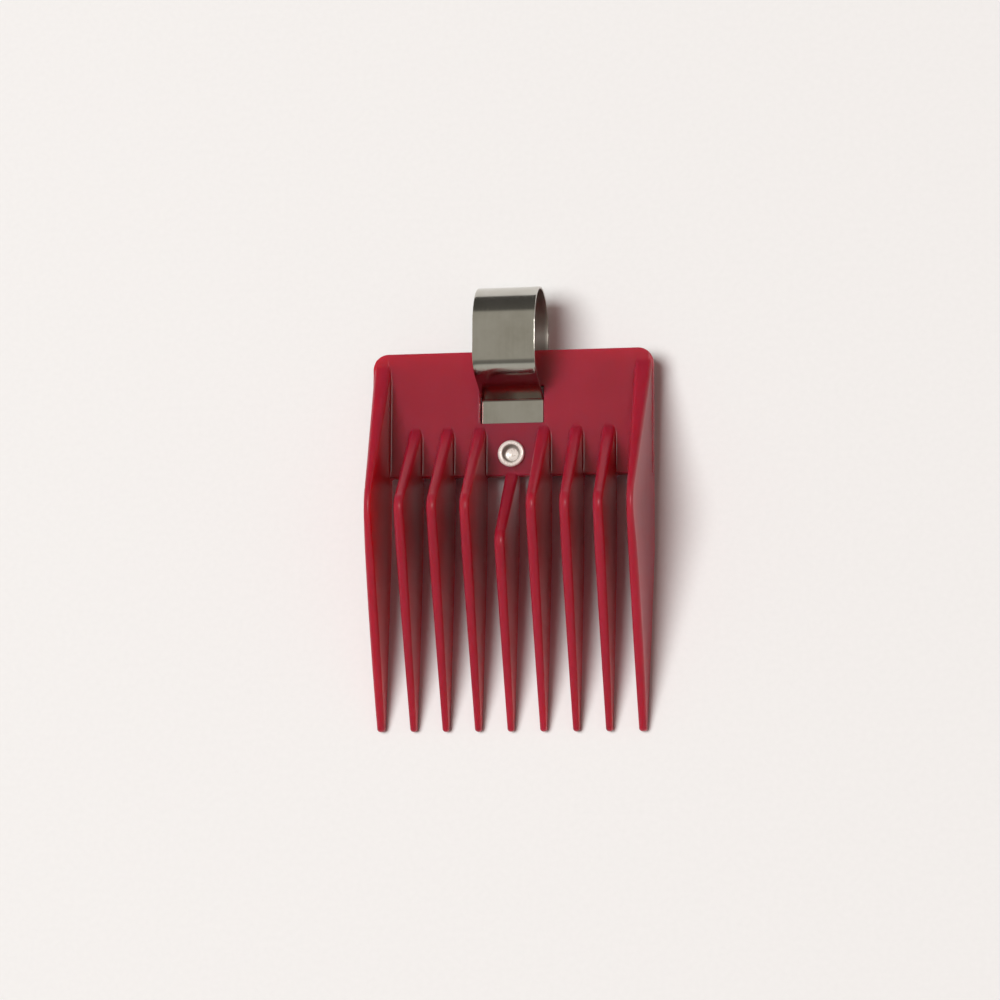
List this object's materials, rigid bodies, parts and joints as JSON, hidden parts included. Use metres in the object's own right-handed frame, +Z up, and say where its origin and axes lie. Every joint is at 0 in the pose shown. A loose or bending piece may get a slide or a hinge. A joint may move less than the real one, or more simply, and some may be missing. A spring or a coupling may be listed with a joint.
{
  "type": "clipper guard comb",
  "caption": "Clip-on guard comb for a hair clipper: a moulded plate with tall tapered teeth and a riveted spring steel clip that grips the back of a blade.",
  "frame": {"origin": "under the middle of the comb's bounding box, on the surface it lies on, resting on the back of its clip ring and on its tooth tips with the teeth up", "axes": "+X across the teeth to the right, +Y from the tooth tips towards the clip, +Z up, away from the blade side"},
  "size_m": [0.0556, 0.0862, 0.0204],
  "materials": {
    "red_plastic": "moulded, glossy, slightly translucent crimson",
    "spring_steel": "polished spring stainless",
    "nickel": "bright nickel plate"
  },
  "bodies": {
    "comb": {"comb_body": "red_plastic", "spring_clip_leaf": "spring_steel", "rivet": "nickel"},
    "clip_jaw": {"spring_clip_jaw": "spring_steel"}
  },
  "joints": [
    {"name": "clip_flex", "type": "hinge", "parent": "comb", "child": "clip_jaw", "pos_m": [0, 0.04013, 0.01443], "axis": [1, 0, 0], "range_deg": [0, 22], "stiffness_Nm_per_rad": 1.3, "springref_deg": -5.73}
  ]
}
